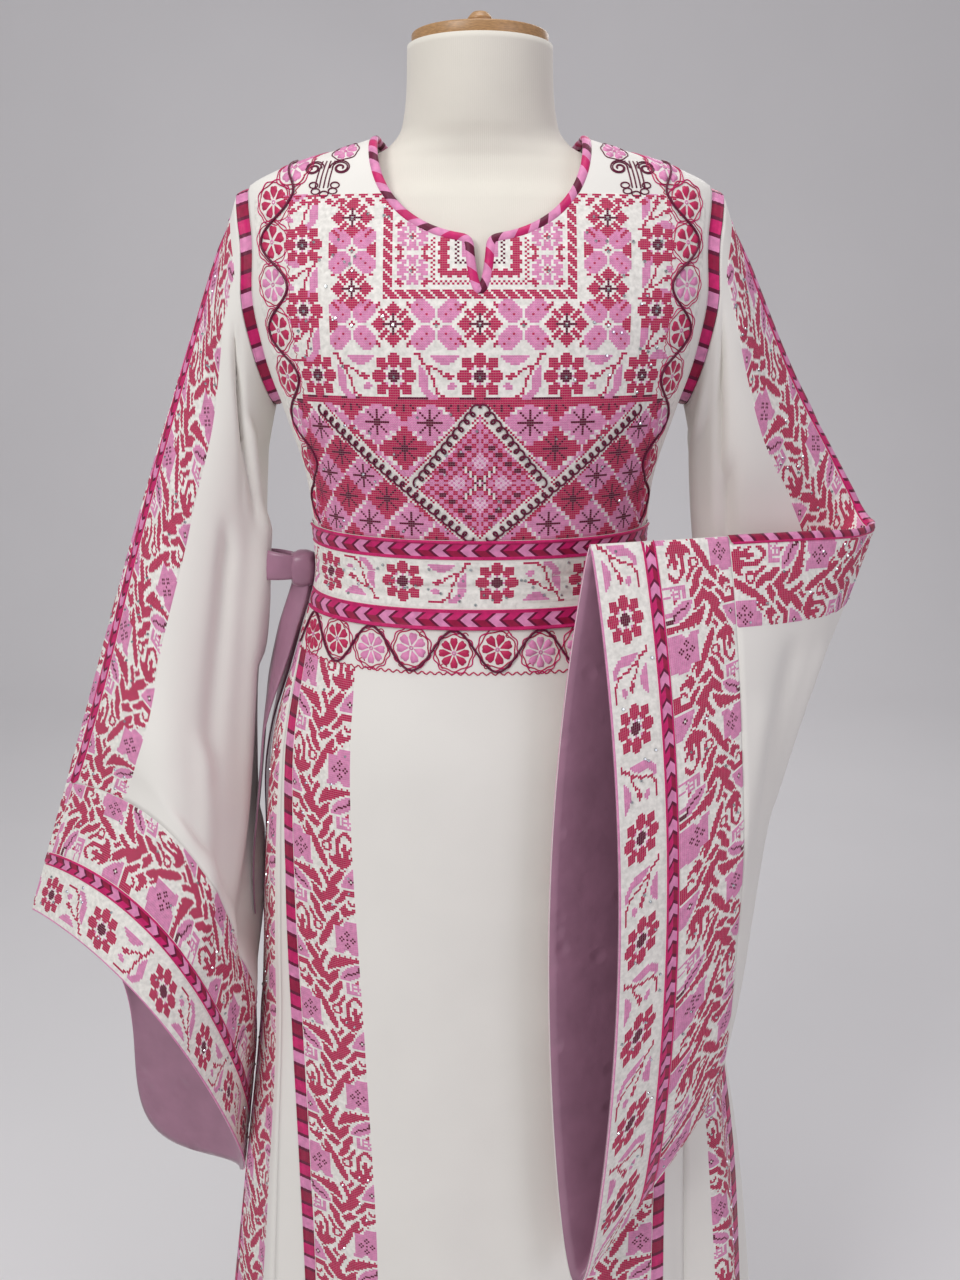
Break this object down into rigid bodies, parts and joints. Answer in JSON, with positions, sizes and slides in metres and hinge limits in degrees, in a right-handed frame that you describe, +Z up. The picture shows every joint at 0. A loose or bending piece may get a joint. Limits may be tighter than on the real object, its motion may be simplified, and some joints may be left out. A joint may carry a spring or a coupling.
{
  "type": "palestinian thobe dress on a dress form",
  "caption": "Long belted thobe dress with cross-stitch panels and wide bell sleeves, one pinned at the belt, worn by a limbless dress form on a pole and round base.",
  "frame": {"origin": "middle of the base's underside, on the floor", "axes": "+Z up, the dress's front faces -Y, +X is the right-hand side seen from the front"},
  "size_m": [0.7684, 0.434, 1.506],
  "materials": {
    "ivory_crepe": "matte crepe with a fine pebble",
    "stitched_pink": "dense cotton cross-stitch in pink, crimson and burgundy on ivory crepe",
    "mauve_satin": "soft satin sheen",
    "cream_jersey": "matte stretched jersey",
    "black_steel": "satin powder coat",
    "beech": "waxed turned wood"
  },
  "bodies": {
    "root": {"bodice_front": "ivory_crepe", "bodice_back": "ivory_crepe", "skirt_front": "ivory_crepe", "skirt_back": "ivory_crepe", "sleeve_left": "ivory_crepe", "sleeve_right": "ivory_crepe", "cuff_left": "ivory_crepe", "cuff_right": "ivory_crepe", "neck_binding_front": "stitched_pink", "neck_binding_back": "stitched_pink", "hip_band": "stitched_pink", "belt_chevron_low": "stitched_pink", "belt_roses": "stitched_pink", "belt_chevron_top": "stitched_pink", "front_strip_left": "stitched_pink", "front_bars_left": "stitched_pink", "back_strip_left": "stitched_pink", "back_bars_left": "stitched_pink", "armhole_trim_left": "stitched_pink", "sleeve_band_front_left": "stitched_pink", "sleeve_band_chevron_left": "stitched_pink", "sleeve_band_rear_left": "stitched_pink", "cuff_vine_left": "stitched_pink", "cuff_chevron_left": "stitched_pink", "cuff_roses_left": "stitched_pink", "front_strip_right": "stitched_pink", "front_bars_right": "stitched_pink", "back_strip_right": "stitched_pink", "back_bars_right": "stitched_pink", "armhole_trim_right": "stitched_pink", "sleeve_band_front_right": "stitched_pink", "sleeve_band_chevron_right": "stitched_pink", "sleeve_band_rear_right": "stitched_pink", "cuff_vine_right": "stitched_pink", "cuff_chevron_right": "stitched_pink", "cuff_roses_right": "stitched_pink", "belt_back": "mauve_satin", "tie_knot": "mauve_satin", "tie_loop": "mauve_satin", "tie_tail_long": "mauve_satin", "tie_tail_short": "mauve_satin", "cuff_lining_left": "mauve_satin", "cuff_lining_right": "mauve_satin", "form_torso": "cream_jersey", "form_neck_cap": "beech", "form_pole": "black_steel", "form_base": "black_steel"}
  },
  "joints": []
}
